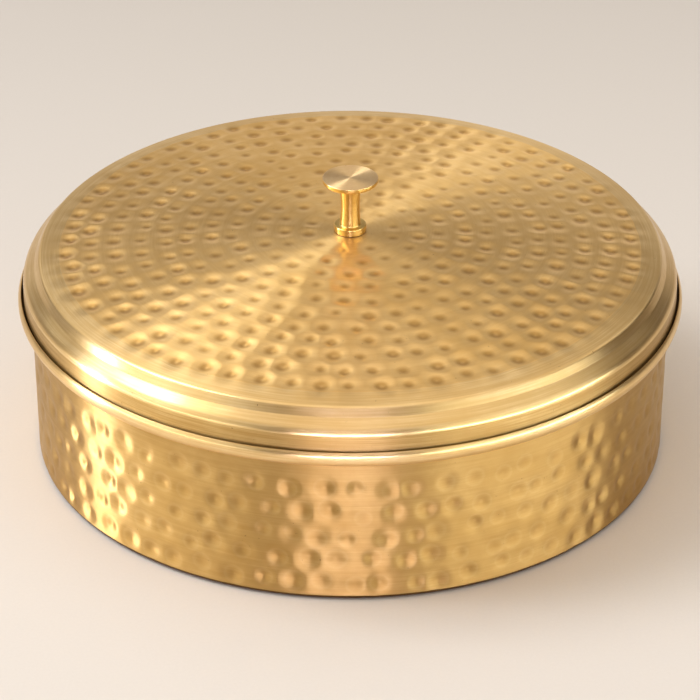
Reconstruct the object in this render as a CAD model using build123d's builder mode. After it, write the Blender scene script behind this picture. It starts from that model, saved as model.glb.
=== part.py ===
from build123d import *
import math
import os

# A round hammered spice box of sheet brass: a pan with an upturned lip, a domed
# lid that drops inside the lip, a turned knob, and seven loose cups with a spoon.
# Millimetres, +Z up, origin on the table under the middle of the pan.

# Sheet thicknesses
pan_sheet = 0.9
lid_sheet = 0.8
cup_sheet = 0.6
spoon_sheet = 1.2

# Clearances
rest_gap = 0.3          # under a loose piece, above the face that carries it
lid_fit = 0.87          # lid skirt inside the lip, on the radius
cup_gap = 1.0           # between the beads of two neighbouring cups
cup_wall_gap = 1.7      # between the outer cups and the pan's wall
shank_fit = 0.1         # screw shank in the lid and washer, on the radius
thread_fit = 0.05       # screw shank in the knob, on the radius

# Pan
wall_radius = 110.4     # outside of the wall, just under the ledge
wall_taper = 0.6        # how much narrower the wall is at the floor
ledge_height = 55.0     # top of the ledge that carries the lid
floor_corner = 2.2      # outside radius between floor and wall
ledge_fillet = 1.2      # outside radius under the ledge
lip_overhang = 4.45     # widest part of the rolled lip, out past the wall
lip_wall = 1.1          # lip, from its bore to its widest part
lip_rise = 4.3          # lip above the ledge
lip_edge = 0.25         # flat left at the top of the lip

# Lid
skirt_rise = 10.3       # bottom of the skirt up to the shoulder corner
shoulder_round = 4.8    # outside radius of the shoulder
step_inset = 3.98       # skirt in to the foot of the step
step_rise = 3.85        # shoulder corner up to the foot of the step
step_fillet = 0.8       # outside radius at the foot of the step
panel_inset = 1.8       # foot of the step in to the panel's corner
panel_rise = 2.9        # foot of the step up to the panel's corner
panel_round = 1.6       # outside radius of the panel's corner
border_width = 7.1      # plain brushed border inside the panel's corner
border_rise = 1.41      # height gained across the border
dome_rise = 5.24        # inner edge of the border up to the crown
pad_margin = 0.8        # flat pad at the crown, wider than the knob

# Knob
knob_height = 20.4
cap_radius = 9.55
cap_edge = 1.7          # height of the cap's edge
cap_edge_round = 0.75
cap_cone = 0.5          # fall of the cap's underside towards the stem
stem_neck_radius = 3.9  # where the stem meets the cap
stem_waist_radius = 3.25
stem_foot_radius = 3.6  # where the stem meets the flange
flange_radius = 5.53
flange_height = 2.65
flange_chamfer = 0.3
knob_fillet = 0.45

# Fastener under the lid
shank_radius = 1.5
screw_engagement = 7.5  # shank inside the knob
screw_tip_room = 0.8
head_radius = 2.9
head_height = 1.8
head_round = 0.9
slot_width = 0.8
slot_depth = 0.9
washer_radius = 4.6
washer_thickness = 0.6

# Cups
ring_cups = 6           # cups around the one in the middle
first_cup_angle = 30.0
cup_headroom = 15.8     # cup rims below the ledge
cup_bead = 1.0          # radius of the rolled bead at the rim
cup_taper = 0.7         # how much narrower the cup is at its base
cup_corner = 5.0        # outside radius between base and wall

# Spoon
bowl_radius = 11.0
bowl_depth = 5.0
bowl_inset = 8.8        # middle of the bowl in from the cup's wall
handle_overhang = 7.6   # tip of the handle past the bead of its cup
handle_root_width = 5.0
handle_tip_width = 7.0

# Radii and heights that follow from the sizes above
pan_bore = wall_radius - pan_sheet
floor_radius = wall_radius - wall_taper
floor_bore = floor_radius - pan_sheet
ledge_underside = ledge_height - pan_sheet
lip_radius = wall_radius + lip_overhang
lip_bore = lip_radius - lip_wall
lip_top = ledge_height + lip_rise

skirt_radius = lip_bore - lid_fit
skirt_bottom = ledge_height + rest_gap
shoulder_z = skirt_bottom + skirt_rise
step_radius = skirt_radius - step_inset
step_z = shoulder_z + step_rise
panel_radius = step_radius - panel_inset
panel_z = step_z + panel_rise
dome_radius = panel_radius - border_width
dome_z = panel_z + border_rise
crown_z = dome_z + dome_rise
pad_radius = flange_radius + pad_margin
washer_z = crown_z - lid_sheet - washer_thickness

cup_radius = (floor_bore - cup_wall_gap - cup_gap) / 3
cup_bore = cup_radius - 2 * cup_bead
cup_ring_radius = 2 * cup_radius + cup_gap
cup_base_z = pan_sheet + rest_gap
cup_top_z = ledge_height - cup_headroom


def corner(section, radius, height):
    """The vertex of a turned section that lies nearest to a radius and height."""
    return section.vertices().sort_by_distance((radius, height))[0]


# Pan: floor, tapered wall, ledge and rolled lip, turned from one section
with BuildPart() as pan:
    with BuildSketch(Plane.XZ) as pan_section:
        with BuildLine():
            Polyline(
                (0, 0),
                (floor_radius, 0),
                (wall_radius, ledge_underside),
                (lip_bore - lip_edge, ledge_underside),
            )
            ThreePointArc(
                (lip_bore - lip_edge, ledge_underside),
                (lip_radius, (ledge_underside + lip_top) / 2),
                (lip_bore + lip_edge, lip_top),
            )
            Polyline(
                (lip_bore + lip_edge, lip_top),
                (lip_bore, lip_top),
                (lip_bore, ledge_height),
                (pan_bore, ledge_height),
                (floor_bore, pan_sheet),
                (0, pan_sheet),
                (0, 0),
            )
        make_face()
        fillet(corner(pan_section, floor_radius, 0), floor_corner)
        fillet(corner(pan_section, floor_bore, pan_sheet), floor_corner - pan_sheet)
        fillet(corner(pan_section, wall_radius, ledge_underside), ledge_fillet)
    revolve(axis=Axis.Z)
pan.part.label = "pan"


# Lid: a solid turning of the outside, shelled from below and drilled for the screw
with BuildPart() as lid_shell:
    with BuildSketch(Plane.XZ) as lid_section:
        with BuildLine():
            Polyline(
                (pad_radius, crown_z),
                (0, crown_z),
                (0, skirt_bottom),
                (skirt_radius, skirt_bottom),
                (skirt_radius, shoulder_z),
                (step_radius, step_z),
                (panel_radius, panel_z),
                (dome_radius, dome_z),
            )
            TangentArc(
                (pad_radius, crown_z),
                (dome_radius, dome_z),
                tangent=(1, 0),
            )
        make_face()
        fillet(corner(lid_section, skirt_radius, shoulder_z), shoulder_round)
        fillet(corner(lid_section, step_radius, step_z), step_fillet)
        fillet(corner(lid_section, panel_radius, panel_z), panel_round)
    revolve(axis=Axis.Z)
    offset(amount=-lid_sheet, openings=lid_shell.faces().sort_by(Axis.Z)[0])
    with Locations((0, 0, crown_z)):
        Hole(shank_radius + shank_fit, depth=2 * lid_sheet)
lid_shell.part.label = "lid_shell"


# Knob: flange, waisted stem and flat cap, bored from below
with BuildPart() as knob:
    cap_z = knob_height - cap_edge
    neck_z = cap_z - cap_cone
    with BuildSketch(Plane.XZ.shift_origin((0, 0, crown_z))) as knob_section:
        with BuildLine():
            Polyline(
                (stem_foot_radius, flange_height),
                (flange_radius, flange_height),
                (flange_radius, 0),
                (0, 0),
                (0, knob_height),
                (cap_radius, knob_height),
                (cap_radius, cap_z),
                (stem_neck_radius, neck_z),
            )
            ThreePointArc(
                (stem_foot_radius, flange_height),
                (stem_waist_radius, (flange_height + neck_z) / 2),
                (stem_neck_radius, neck_z),
            )
        make_face()
        fillet(corner(knob_section, stem_foot_radius, flange_height), knob_fillet)
        fillet(corner(knob_section, stem_neck_radius, neck_z), knob_fillet)
        fillet(corner(knob_section, cap_radius, cap_z), cap_edge_round)
        chamfer(corner(knob_section, flange_radius, 0), flange_chamfer)
        chamfer(corner(knob_section, flange_radius, flange_height), flange_chamfer)
    revolve(axis=Axis.Z)
    with BuildSketch(Plane.XY.offset(crown_z)):
        Circle(shank_radius + thread_fit)
    extrude(amount=screw_engagement + screw_tip_room, mode=Mode.SUBTRACT)
knob.part.label = "knob"


# Washer against the inside of the lid
with BuildPart() as knob_washer:
    with BuildSketch(Plane.XY.offset(washer_z)):
        Circle(washer_radius)
        Circle(shank_radius + shank_fit, mode=Mode.SUBTRACT)
    extrude(amount=washer_thickness)
knob_washer.part.label = "knob_washer"


# Slotted screw, driven up through washer and lid into the knob
with BuildPart() as knob_screw:
    with BuildSketch(Plane.XY.offset(washer_z)):
        Circle(head_radius)
    extrude(amount=-head_height)
    fillet(knob_screw.edges().sort_by(Axis.Z)[0], head_round)
    with BuildSketch(Plane.XY.offset(washer_z)):
        Circle(shank_radius)
    extrude(amount=crown_z + screw_engagement - washer_z)
    with BuildSketch(Plane.XY.offset(washer_z - head_height)):
        Rectangle(2 * head_radius, slot_width)
    extrude(amount=slot_depth, mode=Mode.SUBTRACT)
knob_screw.part.label = "knob_screw"


def turned_cup(x, y):
    """A straight cup with a rounded base and a rim rolled outwards."""
    height = cup_top_z - cup_base_z
    base_bore = cup_bore - cup_taper
    bead_z = height - cup_bead
    bead_x = cup_bore + cup_bead
    hem_drop = math.sqrt(cup_bead**2 - (cup_bead - cup_sheet) ** 2)
    place = Plane((x, y, cup_base_z), x_dir=(1, 0, 0), z_dir=(0, -1, 0))
    with BuildPart() as cup:
        with BuildSketch(place) as cup_section:
            with BuildLine():
                Polyline(
                    (cup_bore, bead_z),
                    (base_bore, cup_sheet),
                    (0, cup_sheet),
                    (0, 0),
                    (base_bore + cup_sheet, 0),
                    (cup_bore + cup_sheet, bead_z - hem_drop),
                )
                ThreePointArc(
                    (cup_bore + cup_sheet, bead_z - hem_drop),
                    (bead_x + cup_bead, bead_z),
                    (cup_bore, bead_z),
                )
            make_face()
            fillet(corner(cup_section, base_bore + cup_sheet, 0), cup_corner)
            fillet(corner(cup_section, base_bore, cup_sheet), cup_corner - cup_sheet)
        revolve(axis=Axis((x, y, 0), (0, 0, 1)))
    return cup


cups = {"cup_centre": turned_cup(0, 0)}
for index in range(ring_cups):
    angle = math.radians(first_cup_angle + index * 360 / ring_cups)
    x = cup_ring_radius * math.cos(angle)
    y = cup_ring_radius * math.sin(angle)
    cups[f"cup_{index + 1}"] = turned_cup(x, y)
for name, cup in cups.items():
    cup.part.label = name


# Spoon: it leans in the middle cup, its bowl on the cup's base and its handle on
# the bead, so its tilt is the one at which both just clear
bowl_sphere = (bowl_radius**2 + bowl_depth**2) / (2 * bowl_depth)
rim_drop = bowl_sphere - bowl_depth
bowl_x = -(cup_bore - cup_taper - bowl_inset)
bowl_z = cup_base_z + cup_sheet + rest_gap + bowl_sphere
bead_span = cup_bore + cup_bead - bowl_x
bead_climb = cup_top_z - cup_bead - bowl_z
handle_drop = rim_drop + spoon_sheet + cup_bead + rest_gap
tilt = math.atan2(bead_climb, bead_span)
tilt += math.asin(handle_drop / math.hypot(bead_span, bead_climb))
tip_reach = cup_radius + cup_gap + handle_overhang
tip_run = tip_reach - bowl_x - (rim_drop + spoon_sheet) * math.sin(tilt)
handle_end = tip_run / math.cos(tilt)

along = Vector(math.cos(tilt), 0, math.sin(tilt))
across = Vector(0, 1, 0)
bowl_middle = Vector(bowl_x, 0, bowl_z)
spoon_top = Plane(bowl_middle, x_dir=along, z_dir=along.cross(across))
spoon_side = Plane(bowl_middle, x_dir=along, z_dir=-across)

with BuildPart() as spoon:
    inner_sphere = bowl_sphere - spoon_sheet
    inner_rim = math.sqrt(inner_sphere**2 - rim_drop**2)
    with BuildSketch(spoon_side):
        with BuildLine():
            RadiusArc((bowl_radius, -rim_drop), (0, -bowl_sphere), bowl_sphere)
            Line((0, -bowl_sphere), (0, -inner_sphere))
            RadiusArc((inner_rim, -rim_drop), (0, -inner_sphere), inner_sphere)
            Line((inner_rim, -rim_drop), (bowl_radius, -rim_drop))
        make_face()
    revolve(axis=Axis(spoon_top.origin, spoon_top.z_dir))
    root_x = (inner_rim + bowl_radius) / 2 + handle_root_width / 2
    with BuildSketch(spoon_top.offset(-rim_drop)):
        with Locations((root_x, 0)):
            Circle(handle_root_width / 2)
        with Locations((handle_end - handle_tip_width / 2, 0)):
            Circle(handle_tip_width / 2)
        make_hull()
    extrude(amount=-spoon_sheet)
spoon.part.label = "spoon"


os.makedirs("parts", exist_ok=True)
pieces = [pan, lid_shell, knob, knob_washer, knob_screw, *cups.values(), spoon]
for piece in pieces:
    export_step(piece.part, f"parts/{piece.part.label}.step")
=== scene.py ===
import math

import bpy
import numpy as np
from mathutils import Matrix, Vector


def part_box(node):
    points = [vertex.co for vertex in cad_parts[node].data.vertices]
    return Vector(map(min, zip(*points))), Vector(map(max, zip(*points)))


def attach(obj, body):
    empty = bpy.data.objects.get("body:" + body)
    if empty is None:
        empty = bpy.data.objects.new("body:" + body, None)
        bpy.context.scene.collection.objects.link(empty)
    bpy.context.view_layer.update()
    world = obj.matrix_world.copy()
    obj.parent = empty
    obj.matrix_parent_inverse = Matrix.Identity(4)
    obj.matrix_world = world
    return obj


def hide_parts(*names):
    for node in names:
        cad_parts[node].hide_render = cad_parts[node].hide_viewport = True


# A round hammered brass spice box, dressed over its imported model. Lengths are in metres

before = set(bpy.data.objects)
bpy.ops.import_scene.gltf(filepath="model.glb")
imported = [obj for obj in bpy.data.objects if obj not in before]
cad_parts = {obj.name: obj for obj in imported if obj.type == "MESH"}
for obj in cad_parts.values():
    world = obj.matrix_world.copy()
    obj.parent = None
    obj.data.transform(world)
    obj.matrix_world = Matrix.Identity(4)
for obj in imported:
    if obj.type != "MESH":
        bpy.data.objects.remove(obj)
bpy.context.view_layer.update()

MM = 0.001
TURN = 2 * math.pi

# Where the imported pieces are
pan_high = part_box("pan")[1]
lid_low, lid_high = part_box("lid_shell")
knob_low, knob_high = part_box("knob")
spoon_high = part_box("spoon")[1]
CUPS = ["cup_centre", "cup_1", "cup_2", "cup_3", "cup_4", "cup_5", "cup_6"]

# Sizes that the boxes do not give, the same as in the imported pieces
PAN_SHEET = 0.9 * MM
LIP_RISE = 4.3 * MM            # lip above the ledge
LIP_OVERHANG = 4.45 * MM       # widest part of the lip, out past the wall
LIP_WALL = 1.1 * MM
LIP_EDGE = 0.25 * MM
WALL_TAPER = 0.6 * MM
FLOOR_CORNER = 2.2 * MM
LEDGE_FILLET = 1.2 * MM

LID_SHEET = 0.8 * MM
SHOULDER_RISE = 10.3 * MM
SHOULDER_ROUND = 4.8 * MM
STEP_INSET = 3.98 * MM
STEP_RISE = 3.85 * MM
STEP_FILLET = 0.8 * MM
PANEL_INSET = 1.8 * MM
PANEL_RISE = 2.9 * MM
PANEL_ROUND = 1.6 * MM
BORDER_WIDTH = 7.1 * MM
BORDER_RISE = 1.41 * MM
PAD_RADIUS = 6.33 * MM
SCREW_HOLE = 1.6 * MM

CAP_EDGE = 1.7 * MM
CAP_EDGE_ROUND = 0.75 * MM
CAP_CONE = 0.5 * MM
NECK_RADIUS = 3.9 * MM
WAIST_RADIUS = 3.25 * MM
FOOT_RADIUS = 3.6 * MM
FLANGE_RADIUS = 5.53 * MM
FLANGE_HEIGHT = 2.65 * MM
FLANGE_CHAMFER = 0.3 * MM
KNOB_FILLET = 0.45 * MM
KNOB_BORE = 1.55 * MM
KNOB_BORE_DEPTH = 8.3 * MM

CUP_SHEET = 0.6 * MM
CUP_BEAD = 1.0 * MM
CUP_TAPER = 0.7 * MM
CUP_CORNER = 5.0 * MM

SPOON_SHEET = 1.2 * MM
SPOON_EDGE = 0.45 * MM
SPOON_TILT = math.radians(31.47)
BOWL_RADIUS = 11 * MM
BOWL_DEPTH = 5 * MM
BOWL_X = -23.9 * MM
BOWL_BOTTOM = 2.1 * MM
HANDLE_START = 8 * MM
HANDLE_ROOT = 2.5 * MM         # half widths
HANDLE_TIP = 3.5 * MM
HANDLE_FLARE = 2.6 * MM
FLARE_LENGTH = 3.2 * MM

# Hammer marks: rings on the dome and rows on the wall
LID_SEED = 11
LID_RINGS = 11
LID_FIRST_RING = 14.8 * MM
LID_LAST_RING = 97 * MM
LID_MARK_PITCH = 9.7 * MM
LID_MARK_RADIUS = 5.8 * MM
LID_MARK_DEPTH = 0.78 * MM
LID_PIT_WANDER = 0.35 * MM
WALL_SEED = 23
WALL_ROWS = 5
WALL_FIRST_ROW = 6.4 * MM
WALL_ROW_PITCH = 9.2 * MM
WALL_MARKS = 68
WALL_MARK_RADIUS = 5.1 * MM
WALL_MARK_DEPTH = 0.68 * MM
WALL_PIT_WANDER = 0.7 * MM
ROW_SCATTER = 0.6 * MM

# Dimple, pit and core of a mark, as shares of its radius; the core is painted dark as shade,
# partly duller metal
DIMPLE_SIZE = 0.6
PIT_SIZE = 0.27
CORE_SIZE = 0.76

# Marks are pressed only where the sheet faces the hammer, to within this cosine
FACING = 0.9

# Where one finish of a piece ends and the next begins; the bands inside the lip, along the table
# and at the lid are painted dark as shade
DOME_MARGIN = 0.3 * MM
SKIRT_IN_LIP = 3.7 * MM
SKIRT_MARGIN = 1 * MM
SHADE_BAND_AT_TABLE = 1.7 * MM
SHADE_BAND_AT_LID = 0.32 * MM
CAP_FACE = 0.12 * MM

# Spacing of the points of an outline where the sheet is hammered, and on its back
HAMMER_SPACING = 0.6 * MM
BACK_SPACING = 1.5 * MM

# Segments round a ring beyond the radius at which they are halved
FINE = 1152
MEDIUM = 576
COARSE = 288
FEWEST = 24
HALVING_RADIUS = 58 * MM

SHARP_ANGLE = math.radians(38)
SPOON_SHARP_ANGLE = math.radians(50)
TINY = 1e-6


# Outlines in (radius, height)

def rounded(corners, steps=8):
    """Points along an outline of (radius, height, rounding) corners."""
    points = []
    for i, (r, z, rounding) in enumerate(corners):
        here = np.array((r, z))
        if rounding == 0:
            points.append(here)
            continue
        before = np.array(corners[i - 1][:2]) - here
        after = np.array(corners[i + 1][:2]) - here
        before /= np.linalg.norm(before)
        after /= np.linalg.norm(after)
        half = math.acos(np.clip(before @ after, -1, 1)) / 2
        middle = before + after
        centre = here + middle / np.linalg.norm(middle) * rounding / math.sin(half)
        start = here + before * rounding / math.tan(half) - centre
        end = here + after * rounding / math.tan(half) - centre
        first = math.atan2(start[1], start[0])
        sweep = (math.atan2(end[1], end[0]) - first + math.pi) % TURN - math.pi
        for t in np.linspace(0, 1, steps + 1):
            angle = first + sweep * t
            points.append(centre + rounding * np.array((math.cos(angle), math.sin(angle))))
    return points


def arc(start, through, end, steps):
    """Points on the circle through three (radius, height) points."""
    (ax, ay), (bx, by), (cx, cy) = start, through, end
    d = 2 * (ax * (by - cy) + bx * (cy - ay) + cx * (ay - by))
    a2, b2, c2 = ax * ax + ay * ay, bx * bx + by * by, cx * cx + cy * cy
    centre = np.array((
        (a2 * (by - cy) + b2 * (cy - ay) + c2 * (ay - by)) / d,
        (a2 * (cx - bx) + b2 * (ax - cx) + c2 * (bx - ax)) / d,
    ))
    radius = np.linalg.norm(np.array(start) - centre)
    angles = [math.atan2(y - centre[1], x - centre[0]) for x, y in (start, through, end)]
    to_middle = (angles[1] - angles[0] + math.pi) % TURN - math.pi
    to_end = (angles[2] - angles[1] + math.pi) % TURN - math.pi
    along = [angles[0] + (to_middle + to_end) * t for t in np.linspace(0, 1, steps + 1)]
    return [centre + radius * np.array((math.cos(angle), math.sin(angle))) for angle in along]


def divided(points, spacing, edge=0.2 * MM):
    """The same line with runs no longer than spacing, and a point close to each end of a run."""
    out = [np.array(points[0])]
    for a, b in zip(points, points[1:]):
        a, b = np.array(a), np.array(b)
        length = np.linalg.norm(b - a)
        stops = list(np.linspace(0, 1, max(1, math.ceil(length / spacing)) + 1)[1:])
        if length > 4 * edge and spacing > 2 * edge:
            stops = sorted({edge / length, 1 - edge / length, *stops})
        out += [a + (b - a) * t for t in stops]
    return out


def normals_of(points):
    """Unit normals to the outer side of a line whose outer side is on its left."""
    p = np.array(points)
    step = np.gradient(p, axis=0)
    n = np.stack((-step[:, 1], step[:, 0]), axis=1)
    return n / np.linalg.norm(n, axis=1)[:, None]


def segments_at(radius, finest):
    """Segments in a ring: halved each time the radius halves, so that faces stay even."""
    halvings = 0
    while radius < HALVING_RADIUS / 2**halvings and finest >> (halvings + 1) >= FEWEST:
        halvings += 1
    return finest >> halvings


# Objects and turned meshes

def added(name, data):
    """A new object with this mesh, light or camera, linked to the scene."""
    item = bpy.data.objects.new(name, data)
    bpy.context.scene.collection.objects.link(item)
    return item


def smooth(mesh, sharp_angle):
    """Smooth shading, but crisp at edges that turn by more than sharp_angle."""
    mesh.update()
    mesh.shade_smooth()
    mesh.set_sharp_from_angle(angle=sharp_angle)


def turned(name, sections, closed=True, press=None):
    """A turned mesh. sections are (points, finest segments) in order, outer side on the left.
    press(places, normals) gives how far each point moves along its normal, and how deep in
    a hammer mark it is, from 0 at the rim to 1 in the middle, for the shade and highlights that
    the material paints there."""
    points, counts = [], []
    for line, finest in sections:
        for p in line:
            if points and np.linalg.norm(p - points[-1]) < TINY:
                continue
            points.append(np.array(p))
            counts.append(segments_at(p[0], finest) if p[0] > TINY else 1)
    if closed and np.linalg.norm(points[0] - points[-1]) < TINY:
        points.pop()
        counts.pop()
    normals = normals_of([points[-1], *points, points[0]] if closed else points)
    if closed:
        normals = normals[1:-1]

    vertices, starts = [], []
    for (r, z), (nr, nz), count in zip(points, normals, counts):
        starts.append(sum(len(v) for v in vertices))
        angles = np.arange(count) * TURN / count
        x, y = np.cos(angles), np.sin(angles)
        ring = np.stack((r * x, r * y, np.full(count, z)), axis=1)
        ring_normals = np.stack((nr * x, nr * y, np.full(count, nz)), axis=1)
        vertices.append(np.concatenate((ring, ring_normals), axis=1))
    table = np.concatenate(vertices)
    place, normal = table[:, :3], table[:, 3:]
    shade = np.zeros(len(place))
    if press is not None:
        offset, shade = press(place, normal)
        place = place + normal * offset[:, None]

    faces = []
    pairs = list(zip(range(len(points) - 1), range(1, len(points))))
    if closed:
        pairs.append((len(points) - 1, 0))
    for a, b in pairs:
        faces += joined(starts[a], counts[a], starts[b], counts[b])
    mesh = bpy.data.meshes.new(name)
    mesh.from_pydata(place.tolist(), [], faces)
    dent = mesh.attributes.new("dent", "FLOAT", "POINT")
    dent.data.foreach_set("value", shade)
    smooth(mesh, SHARP_ANGLE)
    return added(name, mesh)


def joined(a, na, b, nb):
    """Faces between ring a and the next ring b, which may have a different number of points."""
    if na == 1 and nb == 1:
        return []
    if na == 1:
        return [(a, b + j, b + (j + 1) % nb) for j in range(nb)]
    if nb == 1:
        return [(a + j, b, a + (j + 1) % na) for j in range(na)]
    if na == nb:
        return [(a + j, b + j, b + (j + 1) % nb, a + (j + 1) % na) for j in range(na)]
    faces = []
    if na > nb:
        k = na // nb
        turn = k // 2
        for j in range(nb):
            fine = [a + (j * k + i) % na for i in range(k + 1)]
            left, right = b + j, b + (j + 1) % nb
            faces += [(fine[i], left, fine[i + 1]) for i in range(turn)]
            faces.append((fine[turn], left, right))
            faces += [(fine[i], right, fine[i + 1]) for i in range(turn, k)]
        return faces
    k = nb // na
    turn = k // 2
    for j in range(na):
        fine = [b + (j * k + i) % nb for i in range(k + 1)]
        left, right = a + j, a + (j + 1) % na
        faces += [(left, fine[i], fine[i + 1]) for i in range(turn)]
        faces.append((left, fine[turn], right))
        faces += [(right, fine[i], fine[i + 1]) for i in range(turn, k)]
    return faces


def zoned(piece, zone):
    """Give each face the material whose number zone(radius, height) gives for its centre."""
    for face in piece.data.polygons:
        middle = face.center
        face.material_index = zone(math.hypot(middle.x, middle.y), middle.z)
    return piece


# Hammer marks: each is a wide shallow dish, with a dimple and a small pit off its middle

def hollow(t):
    """A smooth hollow: 1 in its middle, and 0 from t = 1 outwards."""
    return np.clip(1 - t**2, 0, 1) ** 2


def dents(along, across, marks, period=None):
    """Depth of a field of marks of (along, across, radius, depth, pit along, pit across) at
    each point, and how far in from the rim of its core each point is; the brass paints the core
    dark as shade."""
    depth = np.zeros(len(along))
    inward = np.zeros(len(along))
    deepest = max(mark[3] for mark in marks)
    for mark_along, mark_across, radius, deep, pit_along, pit_across in marks:
        dx = along - mark_along
        if period:
            dx = (dx + period / 2) % period - period / 2
        dy = across - mark_across
        near = np.flatnonzero((np.abs(dx) < radius) & (np.abs(dy) < radius))
        dx, dy = dx[near], dy[near]
        u = np.hypot(dx - pit_along, dy - pit_across) / radius
        shape = 0.64 * hollow(np.hypot(dx, dy) / radius)
        shape += 0.24 * hollow(u / DIMPLE_SIZE)
        shape += 0.12 * hollow(u / PIT_SIZE)
        core_shade = np.clip(1 - u / CORE_SIZE, 0, 1) * (0.4 + 0.6 * deep / deepest)
        depth[near] = np.maximum(depth[near], deep * shape)
        inward[near] = np.maximum(inward[near], core_shade)
    return depth, inward


def mark_at(rng, along, across, radius, depth, wander):
    """One mark near a place, of a size, depth and pit of its own."""
    return (
        along,
        across,
        radius * rng.uniform(0.85, 1.12),
        depth * rng.uniform(0.6, 1.25),
        rng.normal(0, wander),
        rng.normal(0, wander),
    )


def lid_marks(rng):
    """Rings of marks, deeper towards the border."""
    marks = []
    for ring in range(LID_RINGS):
        radius = LID_FIRST_RING + ring * (LID_LAST_RING - LID_FIRST_RING) / (LID_RINGS - 1)
        depth = LID_MARK_DEPTH * (0.65 + 0.035 * ring)
        count = round(TURN * radius / LID_MARK_PITCH)
        phase = rng.uniform(0, TURN)
        for i in range(count):
            angle = phase + (i + rng.uniform(-0.14, 0.14)) * TURN / count
            r = radius + rng.normal(0, ROW_SCATTER)
            x, y = r * math.cos(angle), r * math.sin(angle)
            marks.append(mark_at(rng, x, y, LID_MARK_RADIUS, depth, LID_PIT_WANDER))
    return marks


def wall_marks(rng, radius):
    """Staggered rows of marks, as (distance round the wall, height)."""
    marks = []
    for row in range(WALL_ROWS):
        phase = row * 0.5 + rng.uniform(-0.15, 0.15)
        for i in range(WALL_MARKS):
            x = (i + phase + rng.uniform(-0.18, 0.18)) * TURN * radius / WALL_MARKS
            z = WALL_FIRST_ROW + row * WALL_ROW_PITCH + rng.normal(0, ROW_SCATTER)
            marks.append(mark_at(rng, x, z, WALL_MARK_RADIUS, WALL_MARK_DEPTH, WALL_PIT_WANDER))
    return marks


# Pieces

def make_lid():
    """The lid's sheet: from the crown down to the skirt, and back up inside."""
    skirt_r, skirt_z, crown_z = lid_high.x, lid_low.z, lid_high.z
    shoulder_z = skirt_z + SHOULDER_RISE
    step_r, step_z = skirt_r - STEP_INSET, shoulder_z + STEP_RISE
    panel_r, panel_z = step_r - PANEL_INSET, step_z + PANEL_RISE
    dome_r, dome_z = panel_r - BORDER_WIDTH, panel_z + BORDER_RISE

    sag, span = crown_z - dome_z, dome_r - PAD_RADIUS
    dome_radius = (span**2 + sag**2) / (2 * sag)

    def dome(r):
        return crown_z - dome_radius + math.sqrt(dome_radius**2 - (r - PAD_RADIUS) ** 2)

    def dome_line(spacing):
        count = math.ceil(span / spacing)
        return [np.array((r, dome(r))) for r in np.linspace(PAD_RADIUS, dome_r, count + 1)]

    def inside(line):
        shifted = np.array(line) - normals_of(line) * LID_SHEET
        return list(shifted[::-1])

    edge = divided(rounded([
        (dome_r, dome_z, 0),
        (panel_r, panel_z, PANEL_ROUND),
        (step_r, step_z, STEP_FILLET),
        (skirt_r, shoulder_z, SHOULDER_ROUND),
        (skirt_r, skirt_z, 0),
    ]), 4 * MM)
    hole_edge = np.array((SCREW_HOLE, crown_z))
    hole = [np.array((SCREW_HOLE, crown_z - LID_SHEET)), hole_edge]
    pad = [hole_edge, np.array((PAD_RADIUS, crown_z))]
    marks = lid_marks(np.random.default_rng(LID_SEED))

    def press(place, normal):
        depth, inward = dents(place[:, 0], place[:, 1], marks)
        on_dome = np.abs(normal[:, 2]) > FACING
        return -np.sign(normal[:, 2]) * depth * on_dome, inward * on_dome

    def zone(r, z):
        """0 on the dome, 1 on the border and edge, 2 inside the lip, painted dark as shade, 3 on
        the skirt, painted darker as shade.
        """
        if r < dome_r + DOME_MARGIN:
            return 0
        if z < skirt_z + SKIRT_IN_LIP:
            return 2
        return 3 if z < shoulder_z - SKIRT_MARGIN else 1

    lid = turned("hammered_lid", [
        (divided(pad, 1 * MM), FINE),
        (dome_line(HAMMER_SPACING), FINE),
        (edge, MEDIUM),
        (inside(edge), MEDIUM),
        (inside(dome_line(BACK_SPACING)), MEDIUM),
        (hole, MEDIUM),
    ], press=press)
    return zoned(lid, zone)


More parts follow.
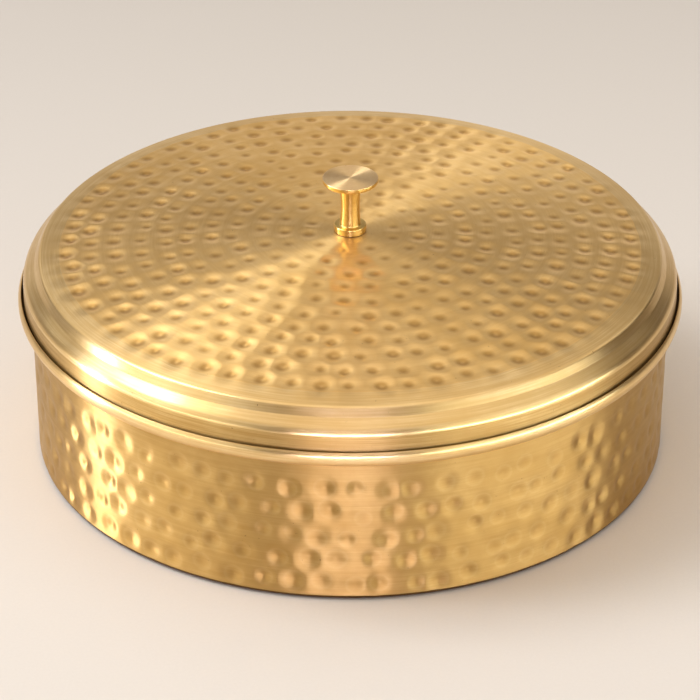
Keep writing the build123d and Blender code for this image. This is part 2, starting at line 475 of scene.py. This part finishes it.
def make_pan():
    """The pan's sheet: from the floor up inside, over the lip and down the hammered wall."""
    lip_r, lip_z = pan_high.x, pan_high.z
    ledge_z = lip_z - LIP_RISE
    wall_r = lip_r - LIP_OVERHANG
    floor_r = wall_r - WALL_TAPER
    bore_r = lip_r - LIP_WALL
    under_z = ledge_z - PAN_SHEET
    # Within these radii the floor is plain, so it is coarser, above and below
    plain_above, plain_below = floor_r - 6 * MM, floor_r - 12 * MM

    inner = rounded([
        (0, PAN_SHEET, 0),
        (floor_r - PAN_SHEET, PAN_SHEET, FLOOR_CORNER - PAN_SHEET),
        (wall_r - PAN_SHEET, ledge_z, 0.5 * MM),
        (bore_r, ledge_z, 0.3 * MM),
        (bore_r, lip_z, 0.12 * MM),
        (bore_r + LIP_EDGE, lip_z, 0),
    ])
    lip = arc(
        (bore_r + LIP_EDGE, lip_z),
        (lip_r, (under_z + lip_z) / 2),
        (bore_r - LIP_EDGE, under_z),
        24,
    )
    outer = rounded([
        (bore_r - LIP_EDGE, under_z, 0),
        (wall_r, under_z, LEDGE_FILLET),
        (floor_r, 0, FLOOR_CORNER),
        (0, 0, 0),
    ])
    marks = wall_marks(np.random.default_rng(WALL_SEED), wall_r)

    def press(place, normal):
        x, y, z = place[:, 0], place[:, 1], place[:, 2]
        radial = np.hypot(x, y)
        depth, inward = dents(np.arctan2(y, x) * wall_r, z, marks, period=TURN * wall_r)
        outward = (normal[:, 0] * x + normal[:, 1] * y) / np.maximum(radial, TINY)
        on_wall = (np.abs(outward) > FACING) & (radial > floor_r - 2 * MM) & (z < under_z)
        return -np.sign(outward) * depth * on_wall, inward * on_wall

    def zone(r, z):
        """0 on the wall, painted darker as shade, 1 on the lip and inside, 2 where the lid and
        the table hide it, painted dark as shade.
        """
        in_bore = ledge_z - 0.2 * MM < z < lip_z - 0.3 * MM and r < bore_r + 0.1 * MM
        if z < SHADE_BAND_AT_TABLE or in_bore:
            return 2
        return 1 if z > under_z - 1.2 * MM or r < floor_r - 0.8 * MM else 0

    pan = turned("hammered_pan", [
        ([p for p in divided(inner, 3 * MM) if p[0] < plain_above], COARSE),
        ([p for p in divided(inner, BACK_SPACING) if p[0] >= plain_above], MEDIUM),
        (lip, MEDIUM),
        ([p for p in divided(outer, HAMMER_SPACING) if p[0] > plain_below], FINE),
        (divided(outer[-2:], 20 * MM), COARSE),
    ], closed=False, press=press)
    return zoned(pan, zone)


def make_knob():
    """The knob: its cap, waisted stem and flange, and the bore for its screw."""
    base_z, top_z, cap_r = knob_low.z, knob_high.z, knob_high.x
    cap_z = top_z - CAP_EDGE
    neck_z = cap_z - CAP_CONE
    flange_z = base_z + FLANGE_HEIGHT
    bore_z = base_z + KNOB_BORE_DEPTH
    stem_top = (NECK_RADIUS - 0.12 * MM, neck_z - 1.2 * MM)
    stem_foot = (FOOT_RADIUS - 0.06 * MM, flange_z + 1.2 * MM)

    cap = rounded([
        (0, top_z, 0),
        (cap_r, top_z, 0.28 * MM),
        (cap_r, cap_z, CAP_EDGE_ROUND),
        (NECK_RADIUS, neck_z, 0),
    ])
    under_cap = rounded([
        (cap_r - 1 * MM, cap_z - 0.09 * MM, 0),
        (NECK_RADIUS, neck_z, KNOB_FILLET),
        (*stem_top, 0),
    ])
    stem = arc(stem_top, (WAIST_RADIUS, (flange_z + neck_z) / 2), stem_foot, 30)
    foot = rounded([
        (*stem_foot, 0),
        (FOOT_RADIUS, flange_z, KNOB_FILLET),
        (FLANGE_RADIUS, flange_z, FLANGE_CHAMFER),
        (FLANGE_RADIUS, base_z, FLANGE_CHAMFER),
        (KNOB_BORE, base_z, 0),
        (KNOB_BORE, bore_z, 0),
        (0, bore_z, 0),
    ])
    line = divided(cap[:-1] + under_cap + stem + foot, 1 * MM, 0.1 * MM)

    def zone(r, z):
        """0 on the body, 1 on the cap's face, a lighter copy with painted light, 2 at the seam
        with the lid, painted dark as shade.
        """
        if z > top_z - CAP_FACE:
            return 1
        return 2 if z < base_z + SHADE_BAND_AT_LID else 0

    return zoned(turned("turned_knob", [(line, MEDIUM)], closed=False), zone)


def make_cups():
    """The seven cups: one turned mesh, copied to where each packed cup is."""
    low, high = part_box(CUPS[0])
    radius, top = (high.x - low.x) / 2, high.z - low.z
    bore, bead_z = radius - 2 * CUP_BEAD, top - CUP_BEAD
    base_bore = bore - CUP_TAPER
    hem_z = bead_z - math.sqrt(CUP_BEAD**2 - (CUP_BEAD - CUP_SHEET) ** 2)
    hem = (bore + CUP_SHEET, hem_z)
    crest = (bore + CUP_BEAD, bead_z + CUP_BEAD)
    outermost = (bore + 2 * CUP_BEAD, bead_z)
    low_out = (bore + 1.7 * CUP_BEAD, bead_z - 0.714 * CUP_BEAD)
    inner = rounded([
        (0, CUP_SHEET, 0),
        (base_bore, CUP_SHEET, CUP_CORNER - CUP_SHEET),
        (bore, bead_z, 0),
    ])
    bead = arc((bore, bead_z), crest, outermost, 12) + arc(outermost, low_out, hem, 8)
    outer = rounded([
        (*hem, 0),
        (base_bore + CUP_SHEET, 0, CUP_CORNER),
        (0, 0, 0),
    ])
    line = divided(inner, 3 * MM) + bead + divided(outer, 3 * MM)
    first = turned("turned_cup_centre", [(line, MEDIUM)], closed=False)
    pieces = {}
    for name in CUPS:
        piece = added("turned_" + name, first.data.copy()) if pieces else first
        low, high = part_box(name)
        piece.location = ((low.x + high.x) / 2, (low.y + high.y) / 2, low.z)
        pieces[name] = piece
    return pieces


def make_spoon():
    """A round bowl that runs into a flat handle, built level and then leant over."""
    sphere = (BOWL_RADIUS**2 + BOWL_DEPTH**2) / (2 * BOWL_DEPTH)
    inner_sphere = sphere - SPOON_SHEET
    rim = BOWL_DEPTH - sphere
    middle = Vector((BOWL_X, 0, BOWL_BOTTOM + sphere))
    reach = spoon_high.x - middle.x - (SPOON_SHEET - rim) * math.sin(SPOON_TILT)
    end = reach / math.cos(SPOON_TILT)
    tip_start = end - HANDLE_TIP
    across = 24

    def half_width(u):
        bowl = math.sqrt(max(0, BOWL_RADIUS**2 - u * u)) if u < BOWL_RADIUS else 0
        if u < 0:
            return bowl
        t = (u - HANDLE_START) / (tip_start - HANDLE_START)
        neck = HANDLE_ROOT + (HANDLE_TIP - HANDLE_ROOT) * min(max(t, 0), 1)
        if u > tip_start:
            neck = math.sqrt(max(0, HANDLE_TIP**2 - (u - tip_start) ** 2))
        flare = HANDLE_FLARE * math.exp(-(((u - BOWL_RADIUS) / FLARE_LENGTH) ** 2))
        if bowl >= neck + flare:
            return bowl
        return max(bowl, neck) + flare * min(u / HANDLE_START, 1)

    def top(u, v):
        r2 = u * u + v * v
        if r2 >= inner_sphere**2 * 0.98:
            return rim
        return min(rim, -math.sqrt(inner_sphere**2 - r2))

    def bottom(u, v):
        r2 = u * u + v * v
        bowl = -math.sqrt(sphere * sphere - r2) if r2 < BOWL_RADIUS**2 else rim
        plate = rim - SPOON_SHEET if u > 0 else rim - SPOON_EDGE
        return min(bowl, plate)

    bowl_stations = -BOWL_RADIUS * np.cos(np.linspace(0, math.pi, 40)[:34])
    handle_stations = np.linspace(BOWL_RADIUS * 0.93, tip_start, 40)
    tip_stations = tip_start + HANDLE_TIP * np.sin(np.linspace(0, math.pi / 2, 12))[1:]
    stations = [*bowl_stations, *handle_stations, *tip_stations]
    stations = sorted(set(round(float(u), 7) for u in stations))
    vertices, faces = [], []
    for u in stations:
        width = max(half_width(u), 0.02 * MM)
        # The points draw in and together near each side, which rounds the edge
        soft = min(SPOON_EDGE, width * 0.5)
        spots = [(side * (width - soft * 0.3), soft * 0.5 * abs(side) ** 12)
                 for side in np.linspace(-1, 1, across)]
        vertices += [(u, v, top(u, v) - ease) for v, ease in spots]
        vertices += [(u, v, bottom(u, v) + ease) for v, ease in spots[::-1]]
    ring = 2 * across
    last = (len(stations) - 1) * ring
    for start in range(0, last, ring):
        for j in range(ring):
            a, b = start + j, start + (j + 1) % ring
            faces.append((a, a + ring, b + ring, b))
    faces.append(tuple(range(ring)))
    faces.append(tuple(reversed(range(last, last + ring))))
    mesh = bpy.data.meshes.new("spoon_with_round_bowl")
    mesh.from_pydata(vertices, [], faces)
    mesh.transform(Matrix.Rotation(-SPOON_TILT, 4, "Y"))
    smooth(mesh, SPOON_SHARP_ANGLE)
    piece = added("spoon_with_round_bowl", mesh)
    piece.location = middle
    return piece


# Node graphs

class Graph:
    """A node tree, with short calls to add and link nodes."""

    def __init__(self, tree):
        self.tree = tree

    def add(self, kind, **settings):
        node = self.tree.nodes.new(kind)
        for key, value in settings.items():
            setattr(node, key, value)
        return node

    def link(self, source, target):
        self.tree.links.new(source, target)

    def put(self, socket, value):
        if isinstance(value, bpy.types.NodeSocket):
            self.link(value, socket)
        else:
            socket.default_value = value

    def math(self, operation, *values):
        node = self.add("ShaderNodeMath", operation=operation)
        for socket, value in zip(node.inputs, values):
            self.put(socket, value)
        return node.outputs[0]

    def weighted(self, start, *terms):
        """start plus each (value, weight) of terms."""
        total = start
        for value, weight in terms:
            total = self.math("ADD", total, self.math("MULTIPLY", value, weight))
        return total

    def vector_math(self, operation, *values):
        node = self.add("ShaderNodeVectorMath", operation=operation)
        for socket, value in zip(node.inputs, values):
            self.put(socket, value)
        is_number = operation in ("LENGTH", "DOT_PRODUCT")
        return node.outputs["Value" if is_number else "Vector"]

    def scale(self, vector, factor):
        node = self.add("ShaderNodeVectorMath", operation="SCALE")
        self.put(node.inputs[0], vector)
        self.put(node.inputs["Scale"], factor)
        return node.outputs["Vector"]

    def split(self, vector):
        node = self.add("ShaderNodeSeparateXYZ")
        self.link(vector, node.inputs[0])
        return node.outputs

    def combine(self, *values):
        node = self.add("ShaderNodeCombineXYZ")
        for socket, value in zip(node.inputs, values):
            self.put(socket, value)
        return node.outputs[0]

    def noise(self, vector, scale, detail=2, roughness=0.5, w=None):
        node = self.add("ShaderNodeTexNoise", noise_dimensions="3D" if w is None else "4D")
        self.put(node.inputs["Vector"], vector)
        self.put(node.inputs["Scale"], scale)
        self.put(node.inputs["Detail"], detail)
        self.put(node.inputs["Roughness"], roughness)
        if w is not None:
            self.put(node.inputs["W"], w)
        return node.outputs["Fac"]

    def spread(self, value, low, high, out_low=0.0, out_high=1.0, curve="LINEAR"):
        node = self.add("ShaderNodeMapRange", interpolation_type=curve, clamp=True)
        self.put(node.inputs["Value"], value)
        self.put(node.inputs["From Min"], low)
        self.put(node.inputs["From Max"], high)
        self.put(node.inputs["To Min"], out_low)
        self.put(node.inputs["To Max"], out_high)
        return node.outputs["Result"]

    def mix(self, factor, a, b):
        node = self.add("ShaderNodeMix", data_type="RGBA")
        self.put(node.inputs["Factor"], factor)
        self.put(node.inputs["A"], a)
        self.put(node.inputs["B"], b)
        return node.outputs["Result"]


# Materials

# Colours of the painted highlight at a hammer mark's rim, of the painted shade in its core,
# partly duller metal, and of a speck
RIM_PAINTED_HIGHLIGHT = (0.95, 0.74, 0.42, 1)
CORE_SHADE_AND_DULL_METAL = (0.50, 0.28, 0.08, 1)
SPECK = (0.16, 0.09, 0.04, 1)
MIRROR_ROUGHNESS = 0.13


def brass(name, colour, dark, roughness, anisotropy, line_depth, line_pitch,
          core_shade=0.6, streaks=0.3, polish=0.3):
    """Brass with turning lines round the piece's own Z axis. The core setting is how dark the
    shade painted inside a hammer mark is, partly duller metal there, streaks is how dark the
    broader lines are, and polish is the share of the surface that mirrors between the lines."""
    material = bpy.data.materials.new(name)
    material.use_nodes = True
    g = Graph(material.node_tree)
    brushed = g.tree.nodes["Principled BSDF"]
    brushed.inputs["Metallic"].default_value = 1.0
    brushed.inputs["Anisotropic"].default_value = anisotropy
    brushed.inputs["Anisotropic Rotation"].default_value = 0.25

    place = g.add("ShaderNodeTexCoord").outputs["Object"]
    x, y, z = g.split(place)
    flat = g.combine(x, y)
    radius = g.vector_math("LENGTH", flat)
    direction = g.vector_math("NORMALIZE", flat)

    def lines(pitch, stretch, detail):
        """Noise drawn out round the axis, so that it turns into lines."""
        turned_x, turned_y, _ = g.split(g.scale(direction, stretch))
        turned_place = g.combine(turned_x, turned_y, g.math("DIVIDE", radius, pitch))
        return g.noise(turned_place, 1.0, detail, 0.6, w=g.math("DIVIDE", z, pitch))

    fine = lines(line_pitch, 7.0, 2)
    streak = lines(line_pitch * 2.5, 4.0, 2)
    broad = lines(line_pitch * 6, 2.5, 3)
    cloud = g.noise(place, 45.0, 3)
    mottle = g.noise(place, 260.0, 3, 0.6)
    specks = g.spread(g.noise(place, 900.0, 2, 0.5), 0.74, 0.80)
    dent = g.add("ShaderNodeAttribute", attribute_name="dent").outputs["Fac"]
    rim_highlight = g.math("MULTIPLY", g.spread(dent, 0.02, 0.12), g.spread(dent, 0.34, 0.18))

    wear = g.weighted(0.0, (broad, 0.4), (cloud, 0.6))
    tone = g.mix(g.spread(wear, 0.3, 0.6), dark, colour)
    tone = g.mix(g.spread(streak, 0.38, 0.62, 0.0, streaks), tone, dark)
    tone = g.mix(g.spread(mottle, 0.35, 0.65, 0.0, 0.22), tone, dark)
    # Painted light in the hammer marks: a lighter ring at the rim is a painted highlight, partly
    # polished metal; the dark core is painted shade, partly duller metal; the lighter middle is
    # a painted glint in the pit
    tone = g.mix(g.math("MULTIPLY", rim_highlight, 0.06), tone, RIM_PAINTED_HIGHLIGHT)
    tone = g.mix(g.spread(dent, 0.32, 0.60, 0.0, core_shade), tone, CORE_SHADE_AND_DULL_METAL)
    tone = g.mix(g.spread(dent, 0.74, 0.86, 0.0, 0.3), tone, colour)
    tone = g.mix(g.math("MULTIPLY", specks, 0.55), tone, SPECK)
    g.link(tone, brushed.inputs["Base Color"])

    rough = g.weighted(roughness - 0.07, (fine, 0.08), (mottle, 0.06), (specks, 0.25))
    g.link(rough, brushed.inputs["Roughness"])
    tangent = g.add("ShaderNodeTangent", direction_type="RADIAL", axis="Z")
    g.link(tangent.outputs[0], brushed.inputs["Tangent"])

    height = g.weighted(fine, (broad, 2.5), (streak, 1.4), (mottle, 4.0), (specks, -2.0))
    bump = g.add("ShaderNodeBump")
    bump.inputs["Strength"].default_value = 1.0
    bump.inputs["Distance"].default_value = line_depth
    g.link(height, bump.inputs["Height"])
    g.link(bump.outputs[0], brushed.inputs["Normal"])

    mirror = g.add("ShaderNodeBsdfPrincipled")
    mirror.inputs["Metallic"].default_value = 1.0
    mirror.inputs["Roughness"].default_value = MIRROR_ROUGHNESS
    g.link(tone, mirror.inputs["Base Color"])
    both = g.add("ShaderNodeMixShader")
    both.inputs[0].default_value = polish
    g.link(brushed.outputs[0], both.inputs[1])
    g.link(mirror.outputs[0], both.inputs[2])
    g.link(both.outputs[0], g.tree.nodes["Material Output"].inputs["Surface"])
    return material


def floor_material():
    """A pale floor, painted a little darker towards the back as shade where the light falls off.
    """
    material = bpy.data.materials.new("pale_floor")
    material.use_nodes = True
    g = Graph(material.node_tree)
    place = g.add("ShaderNodeTexCoord").outputs["Object"]
    grain = g.noise(place, 900.0, 3, 0.6)
    tone = g.mix(grain, (0.73, 0.69, 0.665, 1), (0.77, 0.73, 0.705, 1))
    # Painted shade: the floor darkens towards the back, standing in for light falling off
    far_shade = g.spread(g.split(place)[1], 0.0, 0.6, 0.0, 0.9)
    tone = g.mix(far_shade, tone, (0.43, 0.395, 0.37, 1))
    shader = g.tree.nodes["Principled BSDF"]
    g.link(tone, shader.inputs["Base Color"])
    shader.inputs["Roughness"].default_value = 0.9
    shader.inputs["Specular IOR Level"].default_value = 0.1
    return material


def dress(piece, *materials):
    """Give a piece these materials, numbered from 0, in place of any that it has."""
    if piece.data.materials:
        piece.data.materials.clear()
    for material in materials:
        piece.data.materials.append(material)


FINE_LINES = {"line_depth": 0.006 * MM, "line_pitch": 0.22 * MM}

hammered_top = brass(
    "hammered_lid_brass", (0.97, 0.67, 0.295, 1), (0.83, 0.53, 0.19, 1),
    roughness=0.40, anisotropy=0.88, core_shade=0.7, polish=0.25, **FINE_LINES)
# Painted shade: the wall's brass is the dome's hammered brass made darker, a shaded copy of the
# same metal
hammered_side_shaded = brass(
    "hammered_wall_brass_shaded", (0.69, 0.45, 0.17, 1), (0.55, 0.33, 0.10, 1),
    roughness=0.41, anisotropy=0.99, core_shade=0.3, polish=0.12, **FINE_LINES)
spun = brass(
    "spun_brass", (0.98, 0.73, 0.38, 1), (0.80, 0.53, 0.21, 1),
    roughness=0.34, anisotropy=0.90, streaks=0.8, **FINE_LINES)
# Painted shade: the skirt's brass is the spun brass made darker on the upright side, a shaded
# copy
spun_side_shaded = brass(
    "spun_skirt_brass_shaded", (0.76, 0.53, 0.225, 1), (0.57, 0.35, 0.115, 1),
    roughness=0.40, anisotropy=0.96, streaks=0.9, polish=0.15, **FINE_LINES)
# Painted shade: a dark brown brass on the faces in the gap inside the lip, under the knob and
# along the table, where shade falls
painted_shade_brass = brass(
    "brass_painted_shade", (0.17, 0.09, 0.032, 1), (0.12, 0.06, 0.02, 1),
    roughness=0.5, anisotropy=0.3, polish=0.0, **FINE_LINES)
turned_finish = brass(
    "turned_brass", (0.93, 0.66, 0.235, 1), (0.64, 0.40, 0.105, 1),
    roughness=0.30, anisotropy=0.94, polish=0.45,
    line_depth=0.0004 * MM, line_pitch=0.12 * MM)
# Painted light: the cap face's colour is the knob's brass made lighter on the top; its coarser
# turning lines and roughness are its own
cap_painted_light = brass(
    "turned_cap_brass_painted_light", (0.99, 0.74, 0.43, 1), (0.86, 0.59, 0.29, 1),
    roughness=0.40, anisotropy=0.97, polish=0.1,
    line_depth=0.014 * MM, line_pitch=0.25 * MM)
cup_finish = brass(
    "cup_brass", (0.92, 0.66, 0.30, 1), (0.82, 0.56, 0.23, 1),
    roughness=0.28, anisotropy=0.7,
    line_depth=0.002 * MM, line_pitch=0.15 * MM)
spoon_finish = brass(
    "spoon_brass", (0.92, 0.68, 0.33, 1), (0.84, 0.60, 0.26, 1),
    roughness=0.22, anisotropy=0.0,
    line_depth=0.001 * MM, line_pitch=0.3 * MM)

lid = make_lid()
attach(lid, "lid")
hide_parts("lid_shell")
dress(lid, hammered_top, spun, painted_shade_brass, spun_side_shaded)

pan = make_pan()
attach(pan, "box")
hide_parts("pan")
dress(pan, hammered_side_shaded, spun, painted_shade_brass)

knob = make_knob()
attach(knob, "lid")
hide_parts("knob")
dress(knob, turned_finish, cap_painted_light, painted_shade_brass)

for name, cup in make_cups().items():
    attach(cup, name + "_body")
    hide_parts(name)
    dress(cup, cup_finish)

spoon = make_spoon()
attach(spoon, "spoon_body")
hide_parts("spoon")
dress(spoon, spoon_finish)

dress(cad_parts["knob_washer"], turned_finish)
dress(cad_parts["knob_screw"], turned_finish)


# Floor, light and camera

# The room's plain level, then its screens: azimuth, half width at full strength and where
# it has faded out, elevation from which it is full and where it has faded out, strength and
# colour. A screen is full above its full elevation, or below it where it fades out higher.
# All angles are in degrees
ROOM = (0.05, 0.033, 0.02)
SCREENS = [
    (0, 179, 180, 78, 22, 1.10, (1.0, 0.905, 0.77)),
    (180, 15, 50, 8, 45, 0.66, (1.0, 0.94, 0.85)),
    (-125, 10, 40, 20, 50, 0.12, (1.0, 0.93, 0.82)),
    (-68, 6, 46, 18, 50, 0.8, (1.0, 0.98, 0.9)),
    (57, 15, 40, 20, 50, 0.8, (0.98, 1.0, 0.88)),
    (-68, 6, 46, 2, 9, 3.4, (1.0, 0.98, 0.9)),
    (-1, 5, 19, 3, 9, 24.0, (0.95, 0.88, 1.15)),
    (57, 18, 42, 3, 9, 13.0, (0.96, 1.0, 1.0)),
]

# Soft lamps: azimuth and elevation in degrees, distance, width, height, watts and colour
LAMPS = {
    "window": (-90, 3.5, 3.6, 0.6, 0.44, 55, (0.95, 1.0, 1.2)),
    "key": (-93, 51, 3.2, 1.75, 1.75, 48.5, (0.97, 1.0, 1.0)),
    "left_back": (-136, 37, 2.4, 1.8, 1.8, 4.5, (1.0, 1.0, 0.98)),
    "right_back": (130, 36, 2.4, 1.1, 1.1, 1.7, (1.0, 1.0, 0.98)),
}
LAMP_TARGET = Vector((0, 0, 50 * MM))
FLOOR_HALF = 12.0

# The photo's view, solved from the ellipses of the lip, the lid and the floor
CAMERA_LENS = 178.46
CAMERA_AIM = Vector((0, 0, 31.41 * MM))
CAMERA_PITCH = math.radians(30.03)
CAMERA_ROLL = math.radians(0.105)
CAMERA_REACH = 1.2175


def add_floor():
    h = FLOOR_HALF
    mesh = bpy.data.meshes.new("floor")
    mesh.from_pydata([(-h, -h, 0), (h, -h, 0), (h, h, 0), (-h, h, 0)], [], [(0, 1, 2, 3)])
    mesh.materials.append(floor_material())
    floor = added("floor", mesh)
    floor.location = (0, 0, -0.1 * MM)


def towards(azimuth, elevation):
    """Unit vector. Azimuth is in degrees from the camera's side, positive to the right."""
    a, e = math.radians(azimuth), math.radians(elevation)
    return Vector((math.sin(a) * math.cos(e), -math.cos(a) * math.cos(e), math.sin(e)))


def add_softbox(name, azimuth, elevation, distance, width, height, power, colour):
    """A rectangular lamp that faces LAMP_TARGET."""
    data = bpy.data.lights.new(name, "AREA")
    data.shape = "RECTANGLE"
    data.size = width
    data.size_y = height
    data.energy = power
    data.color = colour
    lamp = added(name, data)
    way = towards(azimuth, elevation)
    lamp.location = LAMP_TARGET + way * distance
    lamp.rotation_euler = way.to_track_quat("Z", "Y").to_euler()


def add_world():
    """A soft studio: a plain level with broad screens that fade out at their sides and tops."""
    world = bpy.data.worlds.new("studio")
    bpy.context.scene.world = world
    world.use_nodes = True
    g = Graph(world.node_tree)
    x, y, z = g.split(g.add("ShaderNodeTexCoord").outputs["Generated"])
    compass = g.vector_math("NORMALIZE", g.combine(x, y))

    def cosine(degrees):
        return math.cos(math.radians(degrees))

    def sine(degrees):
        return math.sin(math.radians(degrees))

    total = ROOM
    for azimuth, inner, outer, full, gone, strength, colour in SCREENS:
        facing = g.vector_math("DOT_PRODUCT", compass, towards(azimuth, 0))
        side = g.spread(facing, cosine(outer), cosine(inner), curve="SMOOTHSTEP")
        height = g.spread(z, sine(gone), sine(full), curve="SMOOTHSTEP")
        light = [channel * strength for channel in colour]
        screen = g.scale(light, g.math("MULTIPLY", side, height))
        total = g.vector_math("ADD", screen, total)

    background = g.tree.nodes["Background"]
    g.link(total, background.inputs["Color"])
    background.inputs["Strength"].default_value = 1.0


def add_camera():
    """The camera in front of the box, looking down at it."""
    data = bpy.data.cameras.new("camera")
    data.sensor_width = 36
    data.lens = CAMERA_LENS
    camera = added("camera", data)
    back = Vector((0, -math.cos(CAMERA_PITCH), math.sin(CAMERA_PITCH)))
    camera.location = CAMERA_AIM + back * CAMERA_REACH
    turn = (-back).to_track_quat("-Z", "Y").to_matrix().to_4x4()
    camera.rotation_euler = (turn @ Matrix.Rotation(CAMERA_ROLL, 4, "Z")).to_euler()
    bpy.context.scene.camera = camera


add_floor()
add_world()
for name, settings in LAMPS.items():
    add_softbox(name, *settings)
add_camera()
bpy.context.scene.view_settings.view_transform = "Standard"
